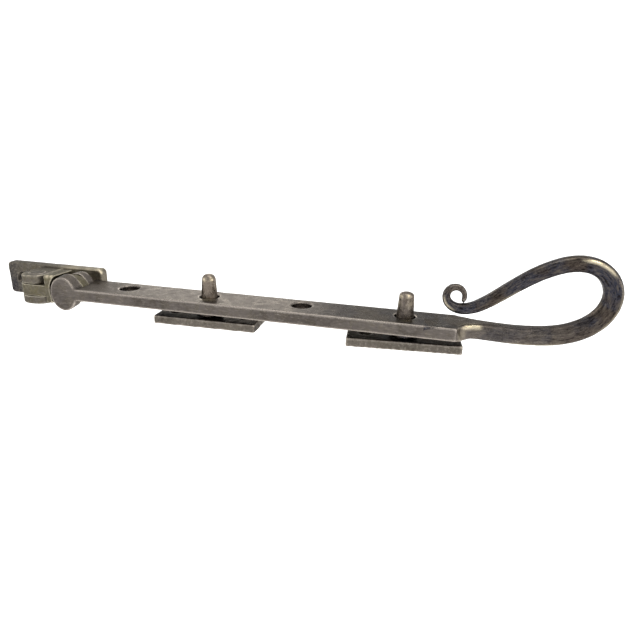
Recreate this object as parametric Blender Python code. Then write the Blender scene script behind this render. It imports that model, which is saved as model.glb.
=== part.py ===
"""Hand-forged casement window stay: a crook-handled arm on a two-way hinge, with two screw-down pegs.

Metres, +Z up. The origin is on the fixing plate's back face, in line with the swing pin and level with
the arm's middle plane. The arm runs along +X, and the fixing plate's back faces +Y.
"""
import math

import bmesh
import bpy
from mathutils import Matrix, Vector

MM = 0.001

# Clearances
RUNNING_GAP = 0.3 * MM          # between pieces that touch or turn on each other

# Arm: a flat bar with a fork at the hinge and a crook at the free end
ARM_Y = -15.8 * MM              # the arm's middle line, in front of the fixing plate's back face
BAR_WIDTH = 20.0 * MM
BAR_THICK = 5.8 * MM
BAR_EDGE = 0.45 * MM            # the worn radius along the bar's edges
HOLE_RADIUS = 4.7 * MM
HOLE_SHIFT = 1.2 * MM           # the punched row sits this far behind the middle line
HOLE_X = (51.1 * MM, 93.6 * MM, 139.2 * MM, 186.4 * MM)

# Two-way hinge
SWING_X = 0.0                   # upright pin through the fixing plate's ears
HINGE_Z = -0.6 * MM             # middle of the fixing plate, its ears and the link's level tongue
LIFT_X = 21.4 * MM              # level pin through the arm's fork
LIFT_Z = -0.2 * MM
FORK_EDGE = 0.5 * MM
FORK_FAR = 6.4 * MM             # the fork's far end, from the arm's middle line
# The fork's two oval ears: half width, half height and height of the middle
NEAR_EAR = (7.0 * MM, 8.4 * MM, LIFT_Z)
FAR_EAR = (6.4 * MM, 7.7 * MM, LIFT_Z + 0.4 * MM)
NEAR_EAR_RISE = 0.7 * MM        # the near ear stands this much higher at the slot than at its front
FILLET_RADIUS = 1.4 * MM        # below, where the near ear runs into the bar
TONGUE_SHIFT = -1.3 * MM        # middle of the fork's slot, from the arm's middle line
TONGUE_THICK = 5.0 * MM
UPRIGHT_RADIUS = 7.5 * MM       # round end of the link's upright tongue
UPRIGHT_LOW_RADIUS = 6.4 * MM   # the same below, where it is dressed back
TONGUE_HALF_ROOT = 5.2 * MM     # its half height at the shoulder, clear of the bar when that is lifted
SLOT_RADIUS = UPRIGHT_RADIUS + RUNNING_GAP
LIFT_PIN_RADIUS = 2.6 * MM
LIFT_HEAD_RADIUS = 3.8 * MM
LIFT_PIN_BLIND = 2.2 * MM       # metal left over the pin's end in the near ear
SHOULDER_SCOOP = 10.0 * MM      # radius of the link's hollow face, round the lift pin
SHOULDER_START = 9.1 * MM       # from the swing pin to the link's shoulder
SHOULDER_HALF_WIDTH = 6.9 * MM
SHOULDER_HALF_HEIGHT = 7.2 * MM
SHOULDER_Z = 0.55 * MM
SHOULDER_EDGE = 1.1 * MM

# Fixing plate and its ears
PLATE_LENGTH = 57.2 * MM
PLATE_HEIGHT = 17.2 * MM
PLATE_THICK = 4.8 * MM
PLATE_CORNER = 2.1 * MM
PLATE_EDGE = 0.8 * MM
# Hand-forged ears and the link's level tongue between them, each about the swing pin: middle, half width
# along the plate, reach toward the front
UPPER_EAR = (-0.4 * MM, 6.5 * MM, 6.8 * MM)
LOWER_EAR = (0.2 * MM, 7.8 * MM, 7.1 * MM)
LEVEL_TONGUE = (-0.5 * MM, 6.9 * MM, 6.9 * MM)
EAR_SQUARENESS = 2.5            # 2 would be a plain oval
EAR_INNER = 3.15 * MM           # from the ears' middle plane to an ear's inner face
EAR_THICK = 4.3 * MM
EAR_EDGE = 0.7 * MM
TONGUE_SWEEP = 8.3 * MM         # clear of the level tongue's corners as it swings
SWING_PIN_RADIUS = 2.5 * MM
SWING_HEAD_RADIUS = 3.8 * MM
PIN_HEAD_DEPTH = 1.3 * MM
PLATE_SCREW_X = 20.0 * MM
SCREW_RADIUS = 2.2 * MM
SCREW_SINK_RADIUS = 3.5 * MM
SCREW_SINK_DEPTH = 2.0 * MM

# Pegs and their plates
PEG_PLATE_LENGTH = 50.4 * MM
PEG_PLATE_WIDTH = 18.0 * MM
PEG_PLATE_THICK = 4.0 * MM
PEG_PLATE_EDGE = 0.6 * MM
PEG_PLATE_CORNER = 0.9 * MM
PEG_SCREW_X = 17.0 * MM
COLLAR_RADIUS = 6.4 * MM
COLLAR_HEIGHT = 3.0 * MM
SHANK_FOOT_RADIUS = 4.25 * MM
SHANK_NECK_RADIUS = 3.3 * MM
PEG_TOP_Z = 13.8 * MM           # from the arm's middle plane
TENON_RADIUS = 3.0 * MM
TENON_HEAD_RADIUS = 4.4 * MM
TENON_HEAD_DEPTH = 1.4 * MM
PEGS = (
    # name, hole it stands in, how far its plate is turned, height of its rounded tip
    ("inner_peg", 1, math.radians(1.7), 3.0 * MM),
    ("outer_peg", 3, math.radians(5.5), 1.7 * MM),
)

# Crook: the rod's middle line is bent to these curvatures (1/m, positive turns upward), by distance
# along the rod, straight lines between them
BAR_END = 208.2 * MM
CROOK_START = (208.6 * MM, -0.6 * MM)
CROOK_HEADING = math.radians(11.5)
CROOK_STEPS = 110
BENDS = (
    (0.0, -32.0),
    (15.8, 2.3),
    (33.5, 13.0),
    (51.2, 41.9),
    (67.0, 76.1),
    (82.7, 79.6),
    (98.5, 23.4),
    (115.0, 7.2),
    (128.0, -16.0),
    (134.0, -58.6),
    (140.0, -106.7),
    (146.0, -205.0),
    (153.0, -277.0),
    (162.9, -238.0),
)
# Rod in section by distance along it, in millimetres: half height, half width on the near and far sides
# of the arm's middle line, corner radius. The near side is cut in sharply, the far side drawn down gently
ROD_SECTIONS = (
    (1.4, 3.3, 7.3, 9.1, 0.8),
    (3.0, 3.5, 5.6, 8.0, 1.3),
    (6.0, 3.4, 4.4, 6.4, 2.0),
    (9.0, 3.55, 4.05, 5.2, 2.3),
    (14.0, 3.8, 3.9, 3.95, 2.6),
    (49.0, 3.98, 3.9, 3.9, 2.8),
    (79.0, 3.38, 3.5, 3.5, 2.4),
    (98.5, 3.08, 3.2, 3.2, 2.2),
    (118.0, 2.82, 2.9, 2.9, 2.0),
    (131.0, 2.56, 2.6, 2.6, 1.7),
    (142.0, 2.08, 2.2, 2.2, 1.4),
    (150.0, 1.6, 1.9, 1.9, 1.1),
    (155.0, 1.3, 1.7, 1.7, 0.9),
    (159.0, 1.08, 1.5, 1.5, 0.7),
    (161.8, 1.0, 1.4, 1.4, 0.6),
    (162.9, 0.6, 0.8, 0.8, 0.3),
)
CORNER_POINTS = 4

ROUND_SEGMENTS = 64
SMALL_SEGMENTS = 40


# ---------------------------------------------------------------- helpers

def clear_scene():
    for old in list(bpy.data.objects):
        bpy.data.objects.remove(old, do_unlink=True)


def metal(name, colour, roughness, metallic=0.9):
    material = bpy.data.materials.new(name)
    material.use_nodes = True
    shader = material.node_tree.nodes["Principled BSDF"]
    shader.inputs["Base Color"].default_value = (*colour, 1.0)
    shader.inputs["Roughness"].default_value = roughness
    shader.inputs["Metallic"].default_value = metallic
    material.diffuse_color = (*colour, 1.0)
    return material


def new_object(name, bm, material=None, origin=(0.0, 0.0, 0.0)):
    """Make an object from a bmesh built in world coordinates, with its origin moved to a named place."""
    bmesh.ops.recalc_face_normals(bm, faces=bm.faces)
    bmesh.ops.translate(bm, verts=bm.verts, vec=-Vector(origin))
    mesh = bpy.data.meshes.new(name)
    bm.to_mesh(mesh)
    bm.free()
    item = bpy.data.objects.new(name, mesh)
    item.location = origin
    bpy.context.scene.collection.objects.link(item)
    if material:
        mesh.materials.append(material)
        mesh.shade_smooth()
        mesh.set_sharp_from_angle(angle=math.radians(35))
    return item


def hide_cutter(item):
    item.hide_render = True
    item.display_type = "WIRE"
    return item


def boolean(target, tool, operation="DIFFERENCE"):
    modifier = target.modifiers.new(tool.name, "BOOLEAN")
    modifier.operation = operation
    modifier.object = hide_cutter(tool)


def skin(rings):
    """A closed solid drawn over rings of points, with flat ends. All rings have equally many points."""
    bm = bmesh.new()
    rows = [[bm.verts.new(point) for point in ring] for ring in rings]
    for first, second in zip(rows, rows[1:]):
        for i in range(len(first)):
            j = (i + 1) % len(first)
            bm.faces.new((first[i], first[j], second[j], second[i]))
    bm.faces.new(rows[0])
    bm.faces.new(rows[-1])
    return bm


def along(axis, u, v, w):
    """A point at height w along an axis, with u and v on the other two axes in order."""
    return Vector({"X": (w, u, v), "Y": (u, w, v), "Z": (u, v, w)}[axis])


def extruded(outline, low, high, axis="Z"):
    return skin([[along(axis, u, v, level) for u, v in outline] for level in (low, high)])


def softened(outline_at, low, high, edges, axis="Z"):
    """A prism whose ends are rounded over. outline_at(inset) gives the outline, and edges are the radii
    of the rounding at the low and the high end, where 0 leaves that end square."""
    levels = []
    for end, inward, edge in ((low, 1, edges[0]), (high, -1, edges[1])):
        side = [(end + inward * edge * (1 - math.sin(angle)), edge * (1 - math.cos(angle)))
                for angle in (0.0, math.pi / 4, math.pi / 2)] if edge else [(end, 0.0)]
        levels += side[::-1] if inward > 0 else side
    return skin([[along(axis, u, v, level) for u, v in outline_at(inset)] for level, inset in levels])


def turned(profile, centre, axis="Z", segments=ROUND_SEGMENTS):
    """A turned solid. The profile lists (radius, height) along the axis, from one end to the other."""
    rings = []
    for radius, height in profile:
        angles = [2.0 * math.pi * i / segments for i in range(segments)]
        rings.append([Vector(centre) + along(axis, radius * math.cos(a), radius * math.sin(a), height)
                      for a in angles])
    return skin(rings)


def arc(centre, radius, start, end, steps):
    """Points on an arc, angles in degrees."""
    points = []
    for i in range(steps + 1):
        angle = math.radians(start + (end - start) * i / steps)
        points.append((centre[0] + radius * math.cos(angle), centre[1] + radius * math.sin(angle)))
    return points


def rounded_rectangle(half_u, half_v, corner, steps):
    """Outline about the origin, anticlockwise from the lower right corner."""
    points = []
    for sign_u, sign_v, start in ((1, -1, -90), (1, 1, 0), (-1, 1, 90), (-1, -1, 180)):
        centre = (sign_u * (half_u - corner), sign_v * (half_v - corner))
        points += arc(centre, corner, start, start + 90, steps)
    return points


def squared_front(x, y, half_width, reach, steps):
    """Half of a squared-off oval, bulging toward -Y, from its left side to its right."""
    power = 2 / EAR_SQUARENESS
    points = []
    for i in range(steps + 1):
        angle = math.pi + math.pi * i / steps
        across, out = math.cos(angle), math.sin(angle)
        points.append((x + half_width * math.copysign(abs(across) ** power, across),
                       y - reach * abs(out) ** power))
    return points


def sink_profile(top, bottom, sink_radius, sink_depth, hole_radius):
    """Cutter for a countersunk hole: wide at the top, straight below, past both faces."""
    over = 1.0 * MM
    return ((sink_radius, top + over), (sink_radius, top), (hole_radius, top - sink_depth),
            (hole_radius, bottom - over))


# ---------------------------------------------------------------- fixing plate

def ear_outline(middle, half_width, reach):
    """Outline of an ear by how far it is drawn in, from inside the fixing plate round its front."""
    root = -PLATE_THICK + 1.0 * MM

    def outline(inset):
        side = half_width - inset
        return ([(SWING_X + middle - side, root)]
                + squared_front(SWING_X + middle, ARM_Y, side, reach - inset, 24)
                + [(SWING_X + middle + side, root)])

    return outline


def fixing_plate(material):
    def plate_outline(inset):
        return [(x, HINGE_Z + z) for x, z in
                rounded_rectangle(PLATE_LENGTH / 2 - inset, PLATE_HEIGHT / 2 - inset,
                                  PLATE_CORNER - inset, 6)]

    bm = softened(plate_outline, -PLATE_THICK, 0.0, (PLATE_EDGE, 0.0), axis="Y")
    plate = new_object("fixing_plate", bm, material, origin=(SWING_X, 0.0, 0.0))

    reach = EAR_INNER + EAR_THICK
    for label, ear, low, high in (("upper_ear_form", UPPER_EAR, 0.0, reach),
                                  ("lower_ear_form", LOWER_EAR, -reach, 0.0)):
        edges = (0.0 if low == 0.0 else EAR_EDGE, EAR_EDGE if low == 0.0 else 0.0)
        form = softened(ear_outline(*ear), HINGE_Z + low, HINGE_Z + high, edges)
        boolean(plate, new_object(label, form), "UNION")
    back_wall = ARM_Y + TONGUE_SWEEP
    side = PLATE_LENGTH / 2
    front = -2 * PLATE_LENGTH
    gap = extruded([(-side, front), (side, front), (side, back_wall), (-side, back_wall)],
                   HINGE_Z - EAR_INNER, HINGE_Z + EAR_INNER)
    boolean(plate, new_object("ear_gap", gap))

    hole = SWING_PIN_RADIUS + RUNNING_GAP
    head = SWING_HEAD_RADIUS + RUNNING_GAP
    over = 1.0 * MM
    pin_cut = ((head, -reach - over), (head, -reach), (hole, -reach + PIN_HEAD_DEPTH),
               (hole, reach - PIN_HEAD_DEPTH), (head, reach), (head, reach + over))
    boolean(plate, new_object("swing_pin_hole", turned(pin_cut, (SWING_X, ARM_Y, HINGE_Z),
                                                        segments=SMALL_SEGMENTS)))
    for direction in (-1, 1):
        # the countersink opens toward the front, -Y
        profile = [(radius, -height) for radius, height in
                   sink_profile(PLATE_THICK, 0.0, SCREW_SINK_RADIUS, SCREW_SINK_DEPTH, SCREW_RADIUS)]
        centre = (SWING_X + direction * PLATE_SCREW_X, 0.0, HINGE_Z)
        cutter = turned(profile, centre, axis="Y", segments=SMALL_SEGMENTS)
        boolean(plate, new_object("plate_screw_hole", cutter))
    return plate


def swing_pin(material):
    """Rivet with both heads closed into the ears, slightly domed."""
    reach = EAR_INNER + EAR_THICK
    dome = 0.25 * MM
    profile = ((SWING_HEAD_RADIUS * 0.6, -reach - dome), (SWING_HEAD_RADIUS, -reach),
               (SWING_PIN_RADIUS, -reach + PIN_HEAD_DEPTH), (SWING_PIN_RADIUS, reach - PIN_HEAD_DEPTH),
               (SWING_HEAD_RADIUS, reach), (SWING_HEAD_RADIUS * 0.6, reach + dome))
    centre = (SWING_X, ARM_Y, HINGE_Z)
    return new_object("swing_pin", turned(profile, centre, segments=SMALL_SEGMENTS), material, centre)


# ---------------------------------------------------------------- swivel link

def swivel_link(material):
    """Level tongue on the swing pin, a hollow-faced shoulder, and an upright tongue on the lift pin."""
    centre = (SWING_X, ARM_Y, HINGE_Z)
    half_level = EAR_INNER - RUNNING_GAP
    tongue_root = SHOULDER_START + 1.0 * MM
    middle, half_width, reach = LEVEL_TONGUE
    outline = ([(tongue_root, ARM_Y + half_width)]
               + arc((SWING_X + middle, ARM_Y), half_width, 90, 180, 12)
               + squared_front(SWING_X + middle, ARM_Y, half_width, reach, 24)[1:13]
               + [(tongue_root, ARM_Y - reach)])
    bm = extruded(outline, HINGE_Z - half_level, HINGE_Z + half_level)
    link = new_object("swivel_link", bm, material, centre)

    shoulder_top = SHOULDER_Z + SHOULDER_HALF_HEIGHT - LIFT_Z
    shoulder_end = LIFT_X - math.sqrt(SHOULDER_SCOOP ** 2 - shoulder_top ** 2) + 1.0 * MM
    outline = [(ARM_Y + y, SHOULDER_Z + z) for y, z in
               rounded_rectangle(SHOULDER_HALF_WIDTH, SHOULDER_HALF_HEIGHT, SHOULDER_EDGE, 3)]
    bm = extruded(outline, SHOULDER_START, shoulder_end, axis="X")
    shoulder_form = new_object("shoulder_form", bm)
    # hollow above and at the middle, nearly straight below
    scoop = arc((LIFT_X, LIFT_Z), SHOULDER_SCOOP, 90, 197, 40)
    scoop += [(scoop[-1][0] + 0.4 * MM, LIFT_Z - BAR_WIDTH), (LIFT_X, LIFT_Z - BAR_WIDTH)]
    scoop_form = extruded(scoop, ARM_Y - BAR_WIDTH, ARM_Y + BAR_WIDTH, axis="Y")
    boolean(shoulder_form, new_object("shoulder_scoop", scoop_form))
    boolean(link, shoulder_form, "UNION")

    tongue_y = ARM_Y + TONGUE_SHIFT
    root_x = LIFT_X - SHOULDER_SCOOP - 1.0 * MM
    profile = ([(root_x, LIFT_Z - TONGUE_HALF_ROOT)]
               + arc((LIFT_X, LIFT_Z), UPRIGHT_LOW_RADIUS, -125, -55, 12)
               + arc((LIFT_X, LIFT_Z), UPRIGHT_RADIUS, -28, 130, 26)
               + [(root_x, LIFT_Z + TONGUE_HALF_ROOT)])
    tongue = extruded(profile, tongue_y - TONGUE_THICK / 2, tongue_y + TONGUE_THICK / 2, axis="Y")
    boolean(link, new_object("upright_tongue_form", tongue), "UNION")

    radius = SWING_PIN_RADIUS + RUNNING_GAP
    bore = turned(((radius, -BAR_WIDTH), (radius, BAR_WIDTH)), centre, segments=SMALL_SEGMENTS)
    boolean(link, new_object("swing_bore", bore))
    radius = LIFT_PIN_RADIUS + RUNNING_GAP
    cross = turned(((radius, -BAR_WIDTH), (radius, BAR_WIDTH)), (LIFT_X, ARM_Y, LIFT_Z), axis="Y",
                   segments=SMALL_SEGMENTS)
    boolean(link, new_object("lift_bore", cross))
    return link


# ---------------------------------------------------------------- arm

def interpolate(table, distance):
    """Straight-line reading of a table whose first column is a distance."""
    for low, high in zip(table, table[1:]):
        if distance <= high[0]:
            part = (distance - low[0]) / (high[0] - low[0])
            return [a + (b - a) * part for a, b in zip(low[1:], high[1:])]
    return list(table[-1][1:])


def crook_line():
    """Points (x, z), headings and distances along the bent rod's middle line."""
    length = BENDS[-1][0]
    step = length / CROOK_STEPS
    x, z = CROOK_START
    heading = CROOK_HEADING
    line = [(0.0, x, z, heading)]
    for i in range(CROOK_STEPS):
        curvature = interpolate(BENDS, (i + 0.5) * step)[0]
        middle = heading + curvature * step * MM / 2
        x += math.cos(middle) * step * MM
        z += math.sin(middle) * step * MM
        heading += curvature * step * MM
        line.append(((i + 1) * step, x, z, heading))
    return line


def section_ring(x, z, heading, half_height, near, far, corner):
    up = Vector((-math.sin(heading), 0.0, math.cos(heading)))
    middle = ARM_Y + (far - near) / 2
    return [Vector((x, middle + u, z)) + up * v
            for u, v in rounded_rectangle((near + far) / 2, half_height, corner, CORNER_POINTS)]


def forged_bar():
    """The bar and its crook, drawn out as one skin from the hinge end to the tip."""
    rings = [section_ring(x, 0.0, 0.0, BAR_THICK / 2, BAR_WIDTH / 2, BAR_WIDTH / 2, BAR_EDGE)
             for x in (LIFT_X + 2.0 * MM, BAR_END)]
    for distance, x, z, heading in crook_line()[1:]:
        sizes = [size * MM for size in interpolate(ROD_SECTIONS, distance)]
        rings.append(section_ring(x, z, heading, *sizes))
    return skin(rings)


def fork_ear_form(low, high, oval, edges):
    half_width, half_height, middle = oval

    def outline(inset):
        angles = [2 * math.pi * i / ROUND_SEGMENTS for i in range(ROUND_SEGMENTS)]
        return [(LIFT_X + (half_width - inset) * math.cos(angle),
                 middle + (half_height - inset) * math.sin(angle)) for angle in angles]

    return softened(outline, ARM_Y + low, ARM_Y + high, edges, axis="Y")


def raised_toward_slot(bm):
    """Lean the near ear's forms upward from the ear's front to the slot."""
    front = ARM_Y - BAR_WIDTH / 2
    depth = ARM_Y + fork_slot_sides()[0] - front
    for vertex in bm.verts:
        vertex.co.z += NEAR_EAR_RISE * (vertex.co.y - front) / depth
    return bm


def fillet_form(high):
    """Concave fillet below, between the near ear and the bar."""
    half_width, half_height, middle = NEAR_EAR
    half = BAR_THICK / 2
    level = half + FILLET_RADIUS
    wall = LIFT_X + half_width * math.sqrt(1 - ((level + middle) / half_height) ** 2)
    outline = [(LIFT_X + 2.0 * MM, 1.0 * MM - half), (LIFT_X + 2.0 * MM, -level)]
    outline += arc((wall + FILLET_RADIUS, -level), FILLET_RADIUS, 180, 90, 6)
    outline += [(wall + FILLET_RADIUS, 1.0 * MM - half)]
    return extruded(outline, ARM_Y - BAR_WIDTH / 2 + FORK_EDGE, ARM_Y + high, axis="Y")


def fork_slot_form():
    """The slot between the fork's ears: open above, below and at the hinge end, with a round bottom."""
    span = math.degrees(math.asin(BAR_THICK / 2 / SLOT_RADIUS)) + 3
    bottom = arc((LIFT_X, LIFT_Z), SLOT_RADIUS, -span, span, 12)
    outline = ([(LIFT_X - BAR_WIDTH, LIFT_Z - BAR_WIDTH), (bottom[0][0], LIFT_Z - BAR_WIDTH)] + bottom
               + [(bottom[-1][0], LIFT_Z + BAR_WIDTH), (LIFT_X - BAR_WIDTH, LIFT_Z + BAR_WIDTH)])
    low, high = fork_slot_sides()
    return extruded(outline, ARM_Y + low, ARM_Y + high, axis="Y")


def fork_slot_sides():
    half_slot = TONGUE_THICK / 2 + RUNNING_GAP
    return TONGUE_SHIFT - half_slot, TONGUE_SHIFT + half_slot


def stay_arm(material):
    pivot = (LIFT_X, ARM_Y, LIFT_Z)
    slot_low, slot_high = fork_slot_sides()
    arm = new_object("stay_arm", forged_bar(), material, pivot)
    near_ear = fork_ear_form(-BAR_WIDTH / 2, slot_low, NEAR_EAR, (FORK_EDGE, 0.0))
    boolean(arm, new_object("near_ear_form", raised_toward_slot(near_ear)), "UNION")
    far_ear = fork_ear_form(slot_high, FORK_FAR, FAR_EAR, (0.0, FORK_EDGE))
    boolean(arm, new_object("far_ear_form", far_ear), "UNION")
    boolean(arm, new_object("fillet_form", raised_toward_slot(fillet_form(slot_low))), "UNION")
    boolean(arm, new_object("fork_slot", fork_slot_form()))

    radius = LIFT_PIN_RADIUS + RUNNING_GAP
    head = LIFT_HEAD_RADIUS + RUNNING_GAP
    over = 1.0 * MM
    pin_hole = ((radius, -BAR_WIDTH / 2 + LIFT_PIN_BLIND), (radius, FORK_FAR - PIN_HEAD_DEPTH),
                (head, FORK_FAR), (head, FORK_FAR + over))
    boolean(arm, new_object("lift_pin_hole", turned(pin_hole, pivot, axis="Y", segments=SMALL_SEGMENTS)))
    for x in HOLE_X:
        punch = turned(((HOLE_RADIUS, -BAR_THICK), (HOLE_RADIUS, BAR_THICK)),
                       (x, ARM_Y + HOLE_SHIFT, 0.0), segments=SMALL_SEGMENTS)
        boolean(arm, new_object("peg_hole", punch))
    return arm


def lift_pin(material):
    """Blind-ended in the near ear, riveted over in the far one."""
    profile = ((LIFT_PIN_RADIUS, -BAR_WIDTH / 2 + LIFT_PIN_BLIND + RUNNING_GAP),
               (LIFT_PIN_RADIUS, FORK_FAR - PIN_HEAD_DEPTH), (LIFT_HEAD_RADIUS, FORK_FAR),
               (LIFT_HEAD_RADIUS * 0.6, FORK_FAR + 0.2 * MM))
    pivot = (LIFT_X, ARM_Y, LIFT_Z)
    bm = turned(profile, pivot, axis="Y", segments=SMALL_SEGMENTS)
    return new_object("lift_pin", bm, material, pivot)


# ---------------------------------------------------------------- pegs

def peg_levels():
    """Heights of the collar's top, the plate's top and the plate's underside."""
    collar_top = -BAR_THICK / 2 - RUNNING_GAP
    plate_top = collar_top - COLLAR_HEIGHT
    return collar_top, plate_top, plate_top - PEG_PLATE_THICK


def peg(name, x, tip_height, material):
    """Turned peg: riveted tenon, collar, tapered shank and rounded tip."""
    collar_top, plate_top, underside = peg_levels()
    collar_foot = plate_top + RUNNING_GAP
    corner = 0.4 * MM
    profile = [(TENON_HEAD_RADIUS, underside + 0.05 * MM),
               (TENON_RADIUS, underside + TENON_HEAD_DEPTH),
               (TENON_RADIUS, collar_foot),
               (COLLAR_RADIUS - corner, collar_foot),
               (COLLAR_RADIUS, collar_foot + corner),
               (COLLAR_RADIUS, collar_top - corner),
               (COLLAR_RADIUS - corner, collar_top),
               (SHANK_FOOT_RADIUS, collar_top)]
    shoulder = PEG_TOP_Z - tip_height
    steps = 8
    for i in range(steps + 1):
        angle = 0.5 * math.pi * i / steps
        radius = SHANK_NECK_RADIUS * (0.15 + 0.85 * math.cos(angle) ** 0.85)
        profile.append((radius, shoulder + tip_height * math.sin(angle)))
    centre = (x, ARM_Y + HOLE_SHIFT, 0.0)
    return new_object(name, turned(profile, centre, segments=SMALL_SEGMENTS), material, centre)


def peg_plate(name, x, turn, material):
    collar_top, plate_top, underside = peg_levels()

    def plate_outline(inset):
        return rounded_rectangle(PEG_PLATE_LENGTH / 2 - inset, PEG_PLATE_WIDTH / 2 - inset,
                                 PEG_PLATE_CORNER - inset, 3)

    bm = softened(plate_outline, underside, plate_top, (0.0, PEG_PLATE_EDGE))
    plate = new_object(name, bm, material)

    cuts = []
    for side in (-1, 1):
        profile = sink_profile(plate_top, underside, SCREW_SINK_RADIUS, SCREW_SINK_DEPTH, SCREW_RADIUS)
        cuts.append(turned(profile, (side * PEG_SCREW_X, 0.0, 0.0), segments=SMALL_SEGMENTS))
    tenon = TENON_RADIUS + RUNNING_GAP
    head = TENON_HEAD_RADIUS + RUNNING_GAP
    over = 1.0 * MM
    cuts.append(turned(((head, underside - over), (head, underside), (tenon, underside + TENON_HEAD_DEPTH),
                        (tenon, plate_top + over)), (0.0, 0.0, 0.0), segments=SMALL_SEGMENTS))
    place = Matrix.Translation((x, ARM_Y + HOLE_SHIFT, 0.0)) @ Matrix.Rotation(turn, 4, "Z")
    for cut in cuts:
        cutter = new_object(name + "_hole", cut)
        cutter.matrix_world = place
        boolean(plate, cutter)
    plate.matrix_world = place
    return plate


# ---------------------------------------------------------------- assembly

def build():
    clear_scene()
    bar_metal = metal("bar_metal", (0.115, 0.105, 0.098), 0.48)
    fixing_metal = metal("fixing_metal", (0.13, 0.122, 0.102), 0.5)
    link_metal = metal("link_metal", (0.15, 0.14, 0.11), 0.5)
    pin_metal = metal("pin_metal", (0.12, 0.112, 0.1), 0.45)
    peg_metal = metal("peg_metal", (0.16, 0.145, 0.13), 0.42)
    peg_plate_metal = metal("peg_plate_metal", (0.125, 0.118, 0.105), 0.5)

    fixing_plate(fixing_metal)
    swing_pin(pin_metal)
    swivel_link(link_metal)
    stay_arm(bar_metal)
    lift_pin(pin_metal)
    for name, hole, turn, tip_height in PEGS:
        peg(name, HOLE_X[hole], tip_height, peg_metal)
        peg_plate(name + "_plate", HOLE_X[hole], turn, peg_plate_metal)


build()
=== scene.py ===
"""Looks of a forged casement window stay: hammered steel under a dark patina, over the CAD frame.

Each visible piece is a copy of its CAD node with an even skin, softened corners and hammer marks.
It carries four attributes that its material reads: wear, grain, fire scale with painted shade in
places, and painted light, which is painted highlights, reflections and fill. Lengths are in
metres unless a comment says mm.
"""
import math

import bmesh
import bpy
import numpy as np
from mathutils import Matrix, Vector, noise


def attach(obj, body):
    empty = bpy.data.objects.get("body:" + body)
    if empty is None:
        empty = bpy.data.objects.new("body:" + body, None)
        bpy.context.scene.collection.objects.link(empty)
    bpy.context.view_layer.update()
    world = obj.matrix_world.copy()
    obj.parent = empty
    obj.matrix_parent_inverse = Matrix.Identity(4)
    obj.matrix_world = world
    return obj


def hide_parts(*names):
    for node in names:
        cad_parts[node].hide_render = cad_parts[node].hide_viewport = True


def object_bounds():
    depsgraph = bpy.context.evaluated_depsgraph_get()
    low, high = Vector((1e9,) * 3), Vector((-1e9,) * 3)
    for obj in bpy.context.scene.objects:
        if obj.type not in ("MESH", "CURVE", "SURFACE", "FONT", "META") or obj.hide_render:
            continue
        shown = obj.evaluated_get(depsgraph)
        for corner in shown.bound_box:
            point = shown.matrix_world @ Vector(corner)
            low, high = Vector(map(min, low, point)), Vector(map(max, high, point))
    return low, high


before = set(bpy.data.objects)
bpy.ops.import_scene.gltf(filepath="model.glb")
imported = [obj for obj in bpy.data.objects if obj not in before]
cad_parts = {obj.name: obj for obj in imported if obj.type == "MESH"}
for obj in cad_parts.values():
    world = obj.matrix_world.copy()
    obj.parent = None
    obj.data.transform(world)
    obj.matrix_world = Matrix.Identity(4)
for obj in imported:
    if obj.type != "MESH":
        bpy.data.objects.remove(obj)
cad_box = [list(corner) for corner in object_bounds()]

MM = 0.001

# ---------------------------------------------------------------- numbers and meshes

SHRINK = 0.5  # share of the way to its neighbours' mean that a value moves in one smoothing
SWELL = -0.52  # the opposite move, which gives a body back what shrinking took
NOISE_SHIFT = (7.31, 3.17, 5.71)  # how far one more seed moves the noise, in features
DIMPLE_SHIFT = (4.13, 9.37, 2.11)
DIMPLE_STEEPNESS = 1.6


def smoothstep(low, high, value):
    t = np.clip((value - low) / (high - low), 0.0, 1.0)
    return t * t * (3.0 - 2.0 * t)


def noise_at(points, size, seed):
    """Smooth noise, about -1 to 1, with features of the given size."""
    offset = Vector([seed * shift for shift in NOISE_SHIFT])
    scale = 1.0 / size
    return np.array([noise.noise(Vector(p) * scale + offset) for p in points])


def dimples_at(points, size, seed):
    """Shallow round hollows with soft ridges: 0 in a hollow's middle, up to 1 on a ridge."""
    offset = Vector([seed * shift for shift in DIMPLE_SHIFT])
    scale = 1.0 / size
    nearest = [noise.voronoi(Vector(p) * scale + offset)[0][0] for p in points]
    return np.array([min(1.0, DIMPLE_STEEPNESS * distance ** 2) for distance in nearest])


def mesh_arrays(mesh):
    """The points and normals of a mesh, a row each."""
    count = len(mesh.vertices)
    points = np.empty(count * 3, dtype=np.float64)
    mesh.vertices.foreach_get("co", points)
    normals = np.empty(count * 3, dtype=np.float32)
    mesh.vertex_normals.foreach_get("vector", normals)
    return points.reshape(-1, 3), normals.reshape(-1, 3).astype(np.float64)


def set_points(mesh, points):
    mesh.vertices.foreach_set("co", points.astype(np.float32).ravel())
    mesh.update()


def edge_array(mesh):
    """The two point numbers of each edge."""
    edges = np.empty(len(mesh.edges) * 2, dtype=np.int64)
    mesh.edges.foreach_get("vertices", edges)
    return edges.reshape(-1, 2)


def neighbour_mean(values, edges, degree):
    total = np.zeros_like(values)
    np.add.at(total, edges[:, 0], values[edges[:, 1]])
    np.add.at(total, edges[:, 1], values[edges[:, 0]])
    return total / (degree[:, None] if values.ndim == 2 else degree)


def smoothed(values, edges, degree, share):
    """Each value moved by a share of the way to its neighbours' mean."""
    return values + share * (neighbour_mean(values, edges, degree) - values)


def softened(points, edges, degree, rounds):
    """Rounds corners off without shrinking the body."""
    for _ in range(rounds):
        points = smoothed(points, edges, degree, SHRINK)
        points = smoothed(points, edges, degree, SWELL)
    return points


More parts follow.
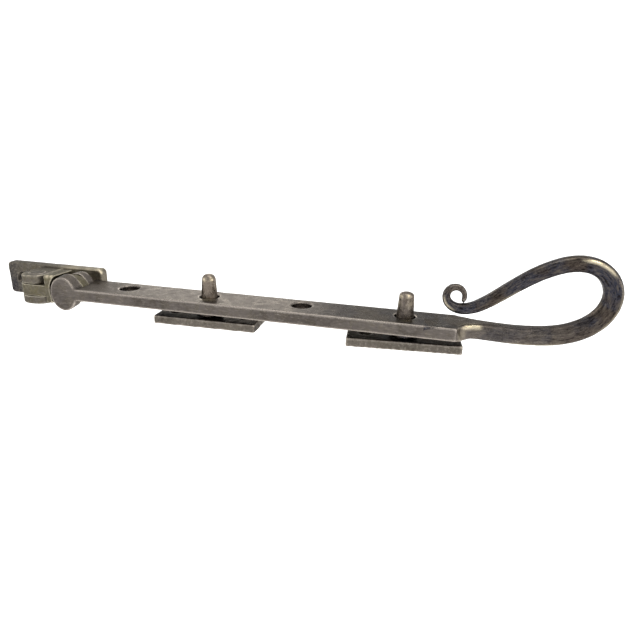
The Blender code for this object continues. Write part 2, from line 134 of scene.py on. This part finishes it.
def remeshed(source, voxel, rounds):
    """An even skin of small squares over closed meshes, with its corners slightly softened."""
    item = bpy.data.objects.new("skin", source)
    bpy.context.scene.collection.objects.link(item)
    modifier = item.modifiers.new("skin", "REMESH")
    modifier.mode = "VOXEL"
    modifier.voxel_size = voxel
    modifier.adaptivity = 0.0
    graph = bpy.context.evaluated_depsgraph_get()
    mesh = bpy.data.meshes.new_from_object(item.evaluated_get(graph))
    bpy.data.objects.remove(item, do_unlink=True)
    edges = edge_array(mesh)
    degree = np.bincount(edges.ravel(), minlength=len(mesh.vertices)).astype(float)
    points, _ = mesh_arrays(mesh)
    set_points(mesh, softened(points, edges, degree, rounds))
    return mesh, edges, degree


def store(mesh, name, values):
    """Keeps a number or a vector for each point, under a name that the material reads."""
    vector = values.ndim == 2
    layer = mesh.attributes.new(name, "FLOAT_VECTOR" if vector else "FLOAT", "POINT")
    layer.data.foreach_set("vector" if vector else "value", values.astype(np.float32).ravel())


# ---------------------------------------------------------------- along the arm

ROD_SEARCH_X = 195 * MM  # every point of the crook lies to the right of this
CROOK_START = (208.6 * MM, -0.6 * MM)  # x and z where the bar ends and the round rod begins
CROOK_HEADING = math.radians(11.5)
# the rod's bend: distance along it (mm), and curvature there (1/m, positive where it turns
# anticlockwise, seen from the front)
BENDS = ((0.0, -32.0), (15.8, 2.3), (33.5, 13.0), (51.2, 41.9), (67.0, 76.1), (82.7, 79.6),
         (98.5, 23.4), (115.0, 7.2), (128.0, -16.0), (134.0, -58.6), (140.0, -106.7),
         (146.0, -205.0), (153.0, -277.0), (162.9, -238.0))
LINE_STEP = 0.5  # between points of the rod's middle line, mm
BATCH = 4000  # points measured against the line at a time, which bounds the memory
# stretches of the forging, as distances along it: where the rod turns from square to round,
# where its scale begins, where the crook's scale thickens, and where painted shade darkens
# the bar's top
ROD_TURNS_ROUND = (212 * MM, 224 * MM)
ROD_SCALE = (212 * MM, 222 * MM)
CROOK_SCALE = (235 * MM, 272 * MM)
BAR_TOP_PAINTED_SHADE = (115 * MM, 185 * MM)
FLAT_TOP_END = 215 * MM  # beyond this the bar's flat top has turned into the rod
FLAT_TOP_Z = (2.2 * MM, 2.8 * MM)  # heights between which the bar's side turns into its top


def crook_line():
    """The rod's middle line: x, z, heading and distance along it, a row for each step."""
    along, bend = zip(*BENDS)
    x, z = CROOK_START
    heading = CROOK_HEADING
    rows = [(x, z, heading, 0.0)]
    for i in range(int(BENDS[-1][0] / LINE_STEP)):
        curvature = np.interp((i + 0.5) * LINE_STEP, along, bend)
        middle = heading + curvature * LINE_STEP * MM / 2
        x += math.cos(middle) * LINE_STEP * MM
        z += math.sin(middle) * LINE_STEP * MM
        heading += curvature * LINE_STEP * MM
        rows.append((x, z, heading, (i + 1) * LINE_STEP * MM))
    return np.array(rows)


def rod_frame(points):
    """Distance along the forging, and height above its middle line, for every point of the arm."""
    line = crook_line()
    along = points[:, 0].copy()
    above = points[:, 2].copy()
    far = np.nonzero(points[:, 0] > ROD_SEARCH_X)[0]
    for start in range(0, len(far), BATCH):
        rows = far[start:start + BATCH]
        gap = ((points[rows, None, 0] - line[None, :, 0]) ** 2
               + (points[rows, None, 2] - line[None, :, 1]) ** 2)
        best = gap.argmin(axis=1)
        on_rod = ~((best == 0) & (points[rows, 0] < CROOK_START[0]))
        nearest = line[best]
        offset = points[rows][:, (0, 2)] - nearest[:, :2]
        rise = -np.sin(nearest[:, 2]) * offset[:, 0] + np.cos(nearest[:, 2]) * offset[:, 1]
        along[rows] = np.where(on_rod, CROOK_START[0] + nearest[:, 3], points[rows, 0])
        above[rows] = np.where(on_rod, rise, points[rows, 2])
    return along, above


def arm_grain(points):
    """The steel's grain runs straight along the bar and bends with the rod."""
    along, above = rod_frame(points)
    return np.stack([along, points[:, 1], above], axis=1)


def arm_rounding(points):
    """The crook was dressed round on the anvil's horn."""
    return smoothstep(*ROD_TURNS_ROUND, rod_frame(points)[0])


# ---------------------------------------------------------------- fire scale and painted shade, from 0 to 1

HOLE_Y = -14.6 * MM
# each punched hole's x, and how far from its middle the painted shade on its lip reaches
HOLES = ((51.1 * MM, 5.4 * MM), (93.6 * MM, 4.95 * MM), (139.2 * MM, 5.6 * MM),
         (186.4 * MM, 4.95 * MM))
LIP_FADE = 0.4 * MM
BETWEEN_PEGS_X = 150 * MM


def arm_scale_and_shade(points):
    """Fire scale, streaked on the rod and thick round the crook; painted shade, thin on top of the
    bar's outer end and dark on the lips and walls of the punched holes."""
    along, _ = rod_frame(points)
    crook = smoothstep(*ROD_SCALE, along) * 0.35 + smoothstep(*CROOK_SCALE, along) * 0.55
    # painted shade on the bar's flat top, darker towards its outer end
    top = smoothstep(*FLAT_TOP_Z, points[:, 2]) * smoothstep(*BAR_TOP_PAINTED_SHADE, points[:, 0])
    scale = np.maximum(crook, 0.50 * top * (along < FLAT_TOP_END))
    # painted shade on the lips and walls of the punched holes
    for x, lip in HOLES:
        reach = np.hypot(points[:, 0] - x, points[:, 1] - HOLE_Y)
        scale = np.maximum(scale, 0.90 * (1.0 - smoothstep(lip - LIP_FADE, lip, reach)))
    return scale


def fixing_end_darkening(points):
    """The fixing plate's free end is darker, most of all near its foot."""
    end = 1.0 - smoothstep(-27 * MM, -14 * MM, points[:, 0])
    return end * (0.80 - 0.55 * smoothstep(-8 * MM, 8 * MM, points[:, 2]))


def peg_scale_and_foot_shade(points):
    """A peg's foot under the bar gets painted shade, and the outer peg is darker all over."""
    foot = 0.85 * (1.0 - smoothstep(-4.2 * MM, -3.2 * MM, points[:, 2]))
    return np.maximum(foot, np.where(points[:, 0] > BETWEEN_PEGS_X, 0.25, 0.0))


def plate_top_shade_and_dark_ends(points):
    """The peg plates' tops, under the bar, get painted shade, and their right ends are darker."""
    top, end = points[:, 2].max(), points[:, 0].max()
    return np.maximum(smoothstep(top - 0.5 * MM, top - 0.1 * MM, points[:, 2]) * 0.85,
                      smoothstep(end - 0.35 * MM, end - 0.15 * MM, points[:, 0]) * 0.75)


# ---------------------------------------------------------------- painted light: highlights, reflections and fill, from 0 to 1

# painted highlights, reflections and fill on each CAD node: x, y, z and radius of the spot (mm),
# and how bright
PAINTED_LIGHT_SPOTS = {
    "fixing_plate": ((-5.0, -20.0, 7.0, 1.5, 0.30), (0.0, -22.4, 6.9, 0.8, 0.35),
                     (28.3, -4.3, 6.8, 1.2, 0.80), (26.0, -3.9, 8.0, 2.2, 0.45),
                     (21.0, -4.0, 8.0, 3.0, 0.35), (12.0, -4.8, 5.0, 6.0, 0.40),
                     (21.0, -4.8, 3.0, 6.0, 0.40)),
    "swivel_link": ((8.5, -22.2, 7.0, 0.8, 0.60), (11.0, -22.3, 7.4, 0.9, 0.80),
                    (13.2, -22.2, 7.6, 0.8, 0.90)),
    "stay_arm": ((95.2, -19.4, 2.9, 2.4, 0.50), (187.3, -21.0, 2.9, 2.4, 0.28)),
    "inner_peg": ((92.5, -17.6, 11.7, 1.0, 0.50), (95.9, -16.7, 11.8, 0.9, 0.45)),
    "outer_peg": ((184.0, -16.9, 12.1, 0.9, 0.50), (187.4, -17.6, 12.7, 0.9, 0.50),
                  (183.2, -16.4, 9.0, 1.6, 0.18), (188.6, -17.4, 9.0, 1.6, 0.15)),
}
# painted highlights on the arm's near side: start and end along the forging, height above its
# middle line and half width of the strip (all mm), and how bright
PAINTED_HIGHLIGHT_STRIPS = ((208.5, 213.0, 0.0, 3.0, 0.14), (210.0, 220.0, 2.4, 0.8, 0.75),
          (224.0, 254.0, -3.4, 0.6, 0.30), (258.0, 284.0, -2.6, 0.35, 0.25),
          (284.0, 299.0, -1.9, 0.5, 1.00), (296.0, 330.0, -3.3, 0.5, 0.20),
          (321.0, 338.0, 2.3, 0.5, 0.50), (349.0, 358.0, 0.9, 0.5, 0.80),
          (358.0, 369.0, -1.2, 0.4, 0.30))
STRIP_FADE = 0.3  # share of a strip's length over which each of its ends fades


def painted_light_spots(points, node):
    total = np.zeros(len(points))
    for x, y, z, radius, amount in PAINTED_LIGHT_SPOTS.get(node, ()):
        reach = ((points / MM - (x, y, z)) ** 2).sum(axis=1) / radius ** 2
        total = np.maximum(total, amount * np.exp(-reach))
    return total


def arm_painted_highlights(points):
    along, above = (values / MM for values in rod_frame(points))
    # the highlights are painted on the near side only
    near = 1.0 - smoothstep(-18.5 * MM, -17.0 * MM, points[:, 1])
    total = np.zeros(len(points))
    for start, end, middle, width, amount in PAINTED_HIGHLIGHT_STRIPS:
        fade = STRIP_FADE * (end - start)
        starts = smoothstep(start, start + fade, along)
        stops = smoothstep(end - fade, end, along)
        across = np.exp(-((above - middle) / width) ** 2)
        total = np.maximum(total, amount * (starts * (1.0 - stops)) * across)
    return total * near


# ---------------------------------------------------------------- steel

OXIDE_BLUE = (0.016, 0.020, 0.035)
OXIDE_BROWN = (0.026, 0.019, 0.016)
OXIDE_WORN = (0.085, 0.070, 0.054)
# the colour of the painted highlights, reflections and fill
PAINTED_HIGHLIGHT_COLOUR = (0.74, 0.65, 0.47)
KHAKI_CAST = (1.08, 1.06, 0.78)  # what turning khaki does to each channel
# the noises the steel is made of: features per mm, detail, roughness and distortion
CLOUD = (0.05, 3.0, 0.55, 0.4)
BLOTCH = (0.30, 5.0, 0.62, 0.8)
STREAKS = (0.9, 6.0, 0.68, 0.3)
FINE = (1.7, 4.0, 0.6, 0.0)
GRIT = (4.5, 3.0, 0.6, 0.0)


def shaded(colour, factor):
    return tuple(factor * channel for channel in colour)


class NodeTree:
    """A material's nodes, with a short method for each kind that the steel needs."""

    def __init__(self, material):
        material.use_nodes = True
        self.nodes = material.node_tree.nodes
        self.links = material.node_tree.links
        self.shader = self.nodes["Principled BSDF"]

    def feed(self, socket, value):
        """Sets a socket to a number or colour, or links it to another node's output."""
        if isinstance(value, (int, float)):
            socket.default_value = value
        elif isinstance(value, tuple):
            socket.default_value = (*value, 1.0)
        else:
            self.links.new(value, socket)

    def attribute(self, label):
        item = self.nodes.new("ShaderNodeAttribute")
        item.attribute_name = label
        return item.outputs

    def stretched(self, vector, scale):
        item = self.nodes.new("ShaderNodeMapping")
        item.inputs["Scale"].default_value = scale
        self.links.new(vector, item.inputs["Vector"])
        return item.outputs["Vector"]

    def texture(self, vector, per_mm, detail, rough, distortion):
        """Noise from 0 to 1. The vector is in mm."""
        item = self.nodes.new("ShaderNodeTexNoise")
        item.inputs["Scale"].default_value = per_mm
        item.inputs["Detail"].default_value = detail
        item.inputs["Roughness"].default_value = rough
        item.inputs["Distortion"].default_value = distortion
        self.links.new(vector, item.inputs["Vector"])
        return item.outputs["Fac"]

    def ramp(self, value, start, end, low, high):
        """Goes smoothly from low, where value is start, to high, where it is end."""
        item = self.nodes.new("ShaderNodeMapRange")
        item.interpolation_type = "SMOOTHSTEP"
        item.inputs["From Min"].default_value = start
        item.inputs["From Max"].default_value = end
        item.inputs["To Min"].default_value = low
        item.inputs["To Max"].default_value = high
        self.links.new(value, item.inputs["Value"])
        return item.outputs["Result"]

    def calculate(self, operation, a, b):
        item = self.nodes.new("ShaderNodeMath")
        item.operation = operation
        self.feed(item.inputs[0], a)
        self.feed(item.inputs[1], b)
        return item.outputs[0]

    def add(self, a, b):
        return self.calculate("ADD", a, b)

    def subtract(self, a, b):
        return self.calculate("SUBTRACT", a, b)

    def multiply(self, a, b):
        return self.calculate("MULTIPLY", a, b)

    def mix(self, factor, a, b):
        """Colour a where factor is 0, and colour b where it is 1."""
        item = self.nodes.new("ShaderNodeMix")
        item.data_type = "RGBA"
        factor_socket, a_socket, b_socket = item.inputs[0], item.inputs[6], item.inputs[7]
        self.feed(factor_socket, factor)
        self.feed(a_socket, a)
        self.feed(b_socket, b)
        return item.outputs[2]

    def bump(self, height, strength, distance):
        item = self.nodes.new("ShaderNodeBump")
        item.inputs["Strength"].default_value = strength
        item.inputs["Distance"].default_value = distance
        self.links.new(height, item.inputs["Height"])
        self.links.new(item.outputs["Normal"], self.shader.inputs["Normal"])


def steel(name, dark, middle, light, roughness, shine, olive=0.3, streak=(1.0, 1.0, 1.0)):
    """Forged steel under a patina that runs from dark through middle to light.

    roughness is the patina's own, and shine is what a rubbed edge takes off it. olive is how far
    the patina's blotches turn khaki. streak is how fast the streaks vary along the grain's x, y
    and z: below 1 they are long, above 1 they are narrow.
    """
    material = bpy.data.materials.new(name)
    tree = NodeTree(material)
    add, subtract, multiply = tree.add, tree.subtract, tree.multiply
    ramp, mix = tree.ramp, tree.mix
    sockets = tree.shader.inputs
    sockets["Metallic"].default_value = 0.92
    sockets["Specular IOR Level"].default_value = 0.4
    sockets["Specular Tint"].default_value = (0.55, 0.54, 0.52, 1.0)

    # what the colour, roughness and bump below are made of
    grain = tree.attribute("grain")["Vector"]
    wear, scale_and_shade, painted_light = (tree.attribute(label)["Fac"] for label in ("wear", "scale_and_shade", "painted_light"))
    cloud = tree.texture(grain, *CLOUD)
    blotch = tree.texture(grain, *BLOTCH)
    fine = tree.texture(grain, *FINE)
    streaks = tree.texture(tree.stretched(grain, streak), *STREAKS)
    grit = tree.texture(grain, *GRIT)
    flicker = subtract(fine, 0.5)
    rub = add(wear, multiply(flicker, 0.9))
    rubbed = ramp(rub, 0.12, 0.65, 0.0, 0.85)
    pits = ramp(grit, 0.30, 0.42, 1.0, 0.0)

    # the patina: clouds, blotches with an olive cast, and light and dark streaks
    tone = mix(ramp(cloud, 0.36, 0.64, 0.0, 1.0), dark, middle)
    tone = mix(ramp(blotch, 0.40, 0.62, 0.0, 0.8), tone, middle)
    khaki = tuple(channel * cast for channel, cast in zip(middle, KHAKI_CAST))
    tone = mix(multiply(ramp(blotch, 0.38, 0.58, 1.0, 0.0), olive), tone, khaki)
    tone = mix(ramp(streaks, 0.50, 0.72, 0.0, 0.55), tone, light)
    tone = mix(ramp(streaks, 0.30, 0.46, 0.65, 0.0), tone, dark)

    # fire scale: blue and brown, worn through in streaks, with black scars
    scale = mix(ramp(cloud, 0.44, 0.58, 0.0, 1.0), OXIDE_BLUE, OXIDE_BROWN)
    scale = mix(ramp(streaks, 0.42, 0.68, 0.0, 0.7), scale, OXIDE_WORN)
    # where these values come from painted shade, the dark scale colours and scars are painted
    # shade
    tone = mix(scale_and_shade, tone, scale)
    scars = multiply(multiply(scale_and_shade, 1.4), ramp(streaks, 0.38, 0.47, 0.9, 0.0))
    tone = mix(scars, tone, shaded(OXIDE_BROWN, 0.25))

    # wear: rubbed edges, dirt in the hollows and pits, and painted highlights, reflections and
    # fill
    tone = mix(rubbed, tone, light)
    tone = mix(ramp(rub, 0.45, 1.00, 0.0, 0.9), tone, shaded(light, 1.7))
    hollow = ramp(subtract(wear, multiply(flicker, 0.5)), -0.6, -0.1, 0.75, 0.0)
    tone = mix(hollow, tone, shaded(dark, 0.35))
    tone = mix(multiply(pits, 0.6), tone, shaded(dark, 0.5))
    # painted highlights, reflections and fill, in a warm bright colour
    tone = mix(multiply(painted_light, ramp(streaks, 0.25, 0.55, 0.6, 1.0)), tone, PAINTED_HIGHLIGHT_COLOUR)
    tree.links.new(tone, sockets["Base Color"])

    # pits are rougher; rubbed edges, fire scale, painted shade and painted light are smoother
    rough = add(ramp(blotch, 0.35, 0.65, roughness - 0.07, roughness + 0.08),
                multiply(flicker, 0.22))
    rough = subtract(rough, multiply(rubbed, shine))
    rough = subtract(rough, multiply(add(scale_and_shade, painted_light), 0.07))
    tree.links.new(add(rough, multiply(pits, 0.15)), sockets["Roughness"])

    height = add(multiply(fine, 0.5), multiply(streaks, 0.7))
    height = add(height, multiply(grit, 0.22))
    height = subtract(height, multiply(pits, 0.25))
    tree.bump(height, strength=0.55, distance=0.12 * MM)
    return material


bar_steel = steel("bar_patina", (0.050, 0.043, 0.041), (0.096, 0.084, 0.076),
                  (0.20, 0.178, 0.158), roughness=0.34, shine=0.08, olive=0.25,
                  streak=(0.35, 1.6, 1.6))
fixing_steel = steel("fixing_patina", (0.054, 0.048, 0.041), (0.104, 0.092, 0.077),
                     (0.22, 0.20, 0.165), roughness=0.40, shine=0.08, olive=0.4)
link_steel = steel("link_patina", (0.054, 0.048, 0.036), (0.100, 0.089, 0.066),
                   (0.22, 0.20, 0.155), roughness=0.38, shine=0.08, olive=0.6)
pin_steel = steel("pin_patina", (0.052, 0.047, 0.042), (0.100, 0.090, 0.077),
                  (0.19, 0.17, 0.15), roughness=0.42, shine=0.08)
peg_steel = steel("peg_patina", (0.085, 0.070, 0.058), (0.155, 0.128, 0.106),
                  (0.32, 0.28, 0.24), roughness=0.30, shine=0.06, olive=0.15,
                  streak=(1.2, 1.2, 0.5))
peg_plate_steel = steel("peg_plate_patina", (0.053, 0.046, 0.040), (0.104, 0.092, 0.079),
                        (0.24, 0.215, 0.185), roughness=0.40, shine=0.08, olive=0.15)

# ---------------------------------------------------------------- pieces

SKIN_ROUNDS = 3  # of softening, which breaks every sharp edge
ROUND_OFF_ROUNDS = 24  # of softening, which turns a square section into a round one
BEND_ROUNDS = 3  # of smoothing, which spread an edge's wear to each side
EDGE_WEAR = 9.0  # what a sharp ridge of the skin adds to the wear
MARK_WEAR = 1.2  # what a millimetre of hammer mark adds to it
SCALE_COVERS = 0.5  # share of the wear that full fire scale hides


def forge(name, node, body, material, voxel, hammer, seed,
          grain=None, scale_and_shade=None, painted_light=None, round_off=None):
    """Makes a hammered, worn copy of a CAD node.

    voxel is the side of the skin's squares (mm). hammer lists the size and depth (mm) of the
    round dents, and then of the finer marks. The rest are functions of the points: grain gives
    their place in the steel's grain, the next the fire scale with painted shade in places, the
    next the painted highlights, reflections and fill, and round_off how far the corners there are
    rounded off.
    """
    mesh, edges, degree = remeshed(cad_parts[node].data.copy(), voxel * MM, SKIN_ROUNDS)
    points, normals = mesh_arrays(mesh)
    if round_off:
        share = round_off(points)[:, None]
        rounded = softened(points, edges, degree, ROUND_OFF_ROUNDS)
        set_points(mesh, points + share * (rounded - points))
        points, normals = mesh_arrays(mesh)

    ridge = points - neighbour_mean(points, edges, degree)
    bend = (ridge * normals).sum(axis=1) / (voxel * MM)
    for _ in range(BEND_ROUNDS):
        bend = smoothed(bend, edges, degree, SHRINK)
    (dent_size, dent_depth), *marks = hammer
    depth = dent_depth * MM * (dimples_at(points, dent_size * MM, seed) - 0.5)
    for i, (size, mark_depth) in enumerate(marks, start=1):
        depth += mark_depth * MM * noise_at(points, size * MM, seed + i)
    points = points + normals * depth[:, None]
    set_points(mesh, points)

    mesh.materials.clear()
    mesh.materials.append(material)
    mesh.shade_smooth()
    # fire scale, with painted shade where the given function paints it
    scale = scale_and_shade(points) if scale_and_shade else np.zeros(len(points))
    wear = np.clip(bend * EDGE_WEAR + depth / MM * MARK_WEAR, -1.0, 1.0)
    strips = painted_light(points) if painted_light else 0.0
    store(mesh, "wear", wear * (1.0 - SCALE_COVERS * scale))
    store(mesh, "grain", (grain(points) if grain else points) / MM)
    store(mesh, "scale_and_shade", scale)
    store(mesh, "painted_light", np.maximum(painted_light_spots(points, node), strips))
    piece = bpy.data.objects.new(name, mesh)
    bpy.context.scene.collection.objects.link(piece)
    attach(piece, body)
    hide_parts(node)


forge("forged_arm", "stay_arm", "arm", bar_steel, voxel=0.42,
      hammer=((5.0, 0.045), (2.2, 0.035), (1.0, 0.022)), seed=2, grain=arm_grain,
      scale_and_shade=arm_scale_and_shade, painted_light=arm_painted_highlights, round_off=arm_rounding)
forge("forged_fixing_plate", "fixing_plate", "fixing", fixing_steel, voxel=0.3,
      hammer=((6.0, 0.09), (2.4, 0.04), (1.0, 0.03)), seed=3, scale_and_shade=fixing_end_darkening)
forge("forged_link", "swivel_link", "swivel", link_steel, voxel=0.26,
      hammer=((5.0, 0.07), (2.2, 0.04), (0.9, 0.03)), seed=4)
forge("swing_rivet", "swing_pin", "fixing", pin_steel, voxel=0.25,
      hammer=((3.0, 0.05), (1.4, 0.03)), seed=5)
forge("lift_rivet", "lift_pin", "arm", pin_steel, voxel=0.25,
      hammer=((3.0, 0.05), (1.4, 0.03)), seed=6)
for peg, stand, peg_seed, plate_seed in (("inner_peg", "inner_stand", 7, 11),
                                         ("outer_peg", "outer_stand", 8, 12)):
    forge("forged_" + peg, peg, stand, peg_steel, voxel=0.22,
          hammer=((3.0, 0.04), (1.3, 0.022), (0.7, 0.015)), seed=peg_seed, scale_and_shade=peg_scale_and_foot_shade)
    forge("forged_" + peg + "_plate", peg + "_plate", stand, peg_plate_steel,
          voxel=0.3, hammer=((4.0, 0.05), (1.8, 0.035), (0.9, 0.025)), seed=plate_seed,
          scale_and_shade=plate_top_shade_and_dark_ends)

# ---------------------------------------------------------------- studio

FLOOR_DROP = 290 * MM  # below the part, so that the arm hangs clear of the floor at its lowest
FLOOR_X = 0.12  # under the part's middle
FLAT_RINGS = (0.4, 0.9, 1.3)  # radii of the flat part
RIM_RADIUS = 0.5
RIM_DEGREES = range(6, 91, 6)  # of the rim's quarter circle
FLOOR_SEGMENTS = 96
LIGHTS_AIM = (0.13, -0.015, 0.0)  # the part's middle
# name, direction from the part, distance, width and height, watts, colour
LIGHTS = (
    ("top_light", (0.05, 0.10, 1.0), 1.2, (1.0, 0.7), 5.0, (1.0, 0.98, 0.95)),
    ("back_left_light", (-0.40, 0.87, 0.30), 1.15, (0.50, 0.28), 1.9, (1.0, 0.985, 0.965)),
    ("front_right_light", (0.55, -0.35, 0.75), 1.1, (0.22, 0.16), 1.8, (1.0, 0.90, 0.72)),
    ("right_light", (0.96, -0.15, 0.16), 1.1, (0.40, 0.22), 1.6, (1.0, 0.94, 0.84)),
    ("left_light", (-0.93, -0.30, 0.15), 1.1, (0.25, 0.20), 0.8, (1.0, 0.97, 0.92)),
)


def pale_floor():
    """The floor's material. Its weak even emission keeps the ground as white as the photo's."""
    material = bpy.data.materials.new("pale_floor")
    material.use_nodes = True
    sockets = material.node_tree.nodes["Principled BSDF"].inputs
    sockets["Base Color"].default_value = (0.92, 0.92, 0.92, 1.0)
    sockets["Roughness"].default_value = 0.9
    sockets["Specular IOR Level"].default_value = 0.1
    sockets["Emission Color"].default_value = (1.0, 1.0, 1.0, 1.0)
    sockets["Emission Strength"].default_value = 0.35
    return material


def studio_floor():
    """A round pale floor whose rim sweeps up."""
    profile = [(radius, 0.0) for radius in FLAT_RINGS]
    for degrees in RIM_DEGREES:
        angle = math.radians(degrees)
        profile.append((FLAT_RINGS[-1] + RIM_RADIUS * math.sin(angle),
                        RIM_RADIUS * (1 - math.cos(angle))))
    low = cad_box[0][2] - FLOOR_DROP
    turns = [2 * math.pi * i / FLOOR_SEGMENTS for i in range(FLOOR_SEGMENTS)]
    bm = bmesh.new()
    centre = bm.verts.new((FLOOR_X, 0.0, low))
    rings = [[bm.verts.new((FLOOR_X + radius * math.cos(turn), radius * math.sin(turn),
                            low + height)) for turn in turns]
             for radius, height in profile]
    for i in range(FLOOR_SEGMENTS):
        bm.faces.new((centre, rings[0][i], rings[0][(i + 1) % FLOOR_SEGMENTS]))
    for inner, outer in zip(rings, rings[1:]):
        for i in range(FLOOR_SEGMENTS):
            j = (i + 1) % FLOOR_SEGMENTS
            bm.faces.new((inner[i], outer[i], outer[j], inner[j]))
    mesh = bpy.data.meshes.new("studio_floor")
    bm.to_mesh(mesh)
    bm.free()
    mesh.shade_smooth()
    mesh.materials.append(pale_floor())
    floor = bpy.data.objects.new("studio_floor", mesh)
    bpy.context.scene.collection.objects.link(floor)


def softbox(name, direction, distance, size, watts, colour):
    """An area light that faces the part and isn't seen itself."""
    direction = Vector(direction).normalized()
    light = bpy.data.lights.new(name, "AREA")
    light.shape = "RECTANGLE"
    light.size, light.size_y = size
    light.energy = watts
    light.color = colour
    lamp = bpy.data.objects.new(name, light)
    lamp.location = Vector(LIGHTS_AIM) + direction * distance
    lamp.rotation_euler = (-direction).to_track_quat("-Z", "Y").to_euler()
    lamp.visible_camera = False
    bpy.context.scene.collection.objects.link(lamp)


studio_floor()
for row in LIGHTS:
    softbox(*row)

world = bpy.data.worlds.new("studio")
world.use_nodes = True
background = world.node_tree.nodes["Background"]
background.inputs["Color"].default_value = (1.0, 1.0, 1.0, 1.0)
background.inputs["Strength"].default_value = 1.15
bpy.context.scene.world = world
# a plain view, in which the white ground and the dark steel keep the photo's contrast
bpy.context.scene.view_settings.view_transform = "Standard"

# ---------------------------------------------------------------- camera

# the photo's viewpoint and lens, as fitted to the outlines of the part
AZIMUTH, ELEVATION, ROLL = (math.radians(degrees) for degrees in (12.035, 19.254, 1.990))
CAMERA_AT = (193.29 * MM, -226.80 * MM, 72.48 * MM)
LENS, SENSOR_WIDTH = 28.0, 36.0  # mm

forward = Vector((-math.sin(AZIMUTH) * math.cos(ELEVATION),
                  math.cos(AZIMUTH) * math.cos(ELEVATION),
                  -math.sin(ELEVATION)))
right = Vector((math.cos(AZIMUTH), math.sin(AZIMUTH), 0.0))
up = right.cross(forward)
rolled_right = right * math.cos(ROLL) + up * math.sin(ROLL)
rolled_up = up * math.cos(ROLL) - right * math.sin(ROLL)
lens = bpy.data.cameras.new("camera")
lens.lens = LENS
lens.sensor_width = SENSOR_WIDTH
lens.clip_start = 0.01
lens.clip_end = 20.0
camera = bpy.data.objects.new("camera", lens)
basis = Matrix((rolled_right, rolled_up, -forward)).transposed().to_4x4()
camera.matrix_world = Matrix.Translation(CAMERA_AT) @ basis
bpy.context.scene.collection.objects.link(camera)
bpy.context.scene.camera = camera
